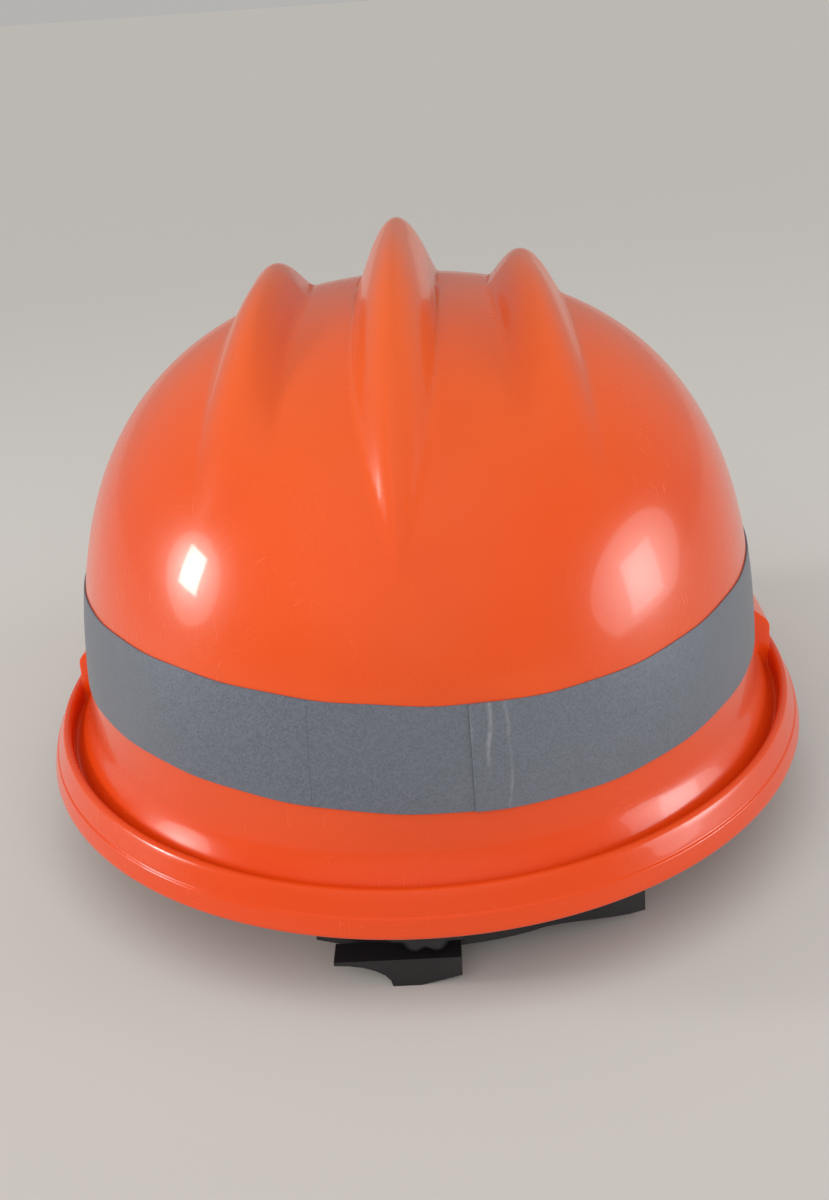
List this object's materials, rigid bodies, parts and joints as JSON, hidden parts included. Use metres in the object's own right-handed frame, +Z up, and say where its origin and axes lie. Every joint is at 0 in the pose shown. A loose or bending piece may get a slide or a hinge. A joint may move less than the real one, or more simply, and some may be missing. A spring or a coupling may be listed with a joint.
{
  "type": "forestry helmet",
  "caption": "Orange cap-style forestry helmet with crown ridges, rain gutter, reflective band, accessory slots, strap cradle and nape ratchet.",
  "frame": {"origin": "bottom centre of the overall box, on the surface that the helmet stands on", "axes": "+Y forward to the peak, +Z up through the crown, +X to the wearer's right"},
  "size_m": [0.22, 0.2888, 0.1655],
  "materials": {
    "shell": "glossy moulded polyethylene, lightly scuffed",
    "tape": "grey retroreflective film with a fine sparkle",
    "black_plastic": "satin moulded nylon",
    "webbing": "woven polyester webbing",
    "pad_fabric": "knitted fabric over foam",
    "spring_steel": "plain steel",
    "pinion_plastic": "natural acetal"
  },
  "bodies": {
    "helmet": {"shell": "shell", "reflective_tape_left": "tape", "reflective_tape_rear": "tape", "reflective_tape_right": "tape", "strap_key_front_right": "black_plastic", "strap_key_front_left": "black_plastic", "strap_key_side_left": "black_plastic", "strap_key_side_right": "black_plastic", "strap_key_rear_left": "black_plastic", "strap_key_rear_right": "black_plastic", "crown_strap_lower": "webbing", "crown_strap_middle": "webbing", "crown_strap_upper": "webbing", "crown_joint_patch": "webbing", "headband": "black_plastic", "brow_pad": "pad_fabric", "rear_hanger_left": "black_plastic", "rear_hanger_right": "black_plastic"},
    "nape": {"nape_carrier": "black_plastic", "nape_pad": "pad_fabric", "ratchet_base": "black_plastic", "ratchet_cover": "black_plastic", "detent_spring": "spring_steel"},
    "knob": {"ratchet_knob": "black_plastic", "ratchet_pinion": "pinion_plastic", "axle_screw": "spring_steel"},
    "strap_left": {"rack_left": "black_plastic"},
    "strap_right": {"rack_right": "black_plastic"}
  },
  "joints": [
    {"name": "nape_height", "type": "slide", "parent": "helmet", "child": "nape", "axis": [0, 0, 1], "range_m": [-0.012, 0]},
    {"name": "strap_left_slide", "type": "hinge", "parent": "nape", "child": "strap_left", "pos_m": [0, -0.0505, 0.021], "axis": [0, 0, 1], "range_deg": [-7.9, 7.9]},
    {"name": "strap_right_slide", "type": "hinge", "parent": "nape", "child": "strap_right", "pos_m": [0, -0.0505, 0.021], "axis": [0, 0, 1], "range_deg": [-7.95, 7.95]},
    {"name": "knob_turn", "type": "hinge", "parent": "nape", "child": "knob", "pos_m": [0, -0.1213, 0.021], "axis": [0, -1, 0], "range_deg": [-80.5, 80.5]}
  ],
  "couplings": [
    {"joint": "strap_right_slide", "follows": "strap_left_slide", "ratio": -1},
    {"joint": "knob_turn", "follows": "strap_left_slide", "ratio": -10.154}
  ]
}
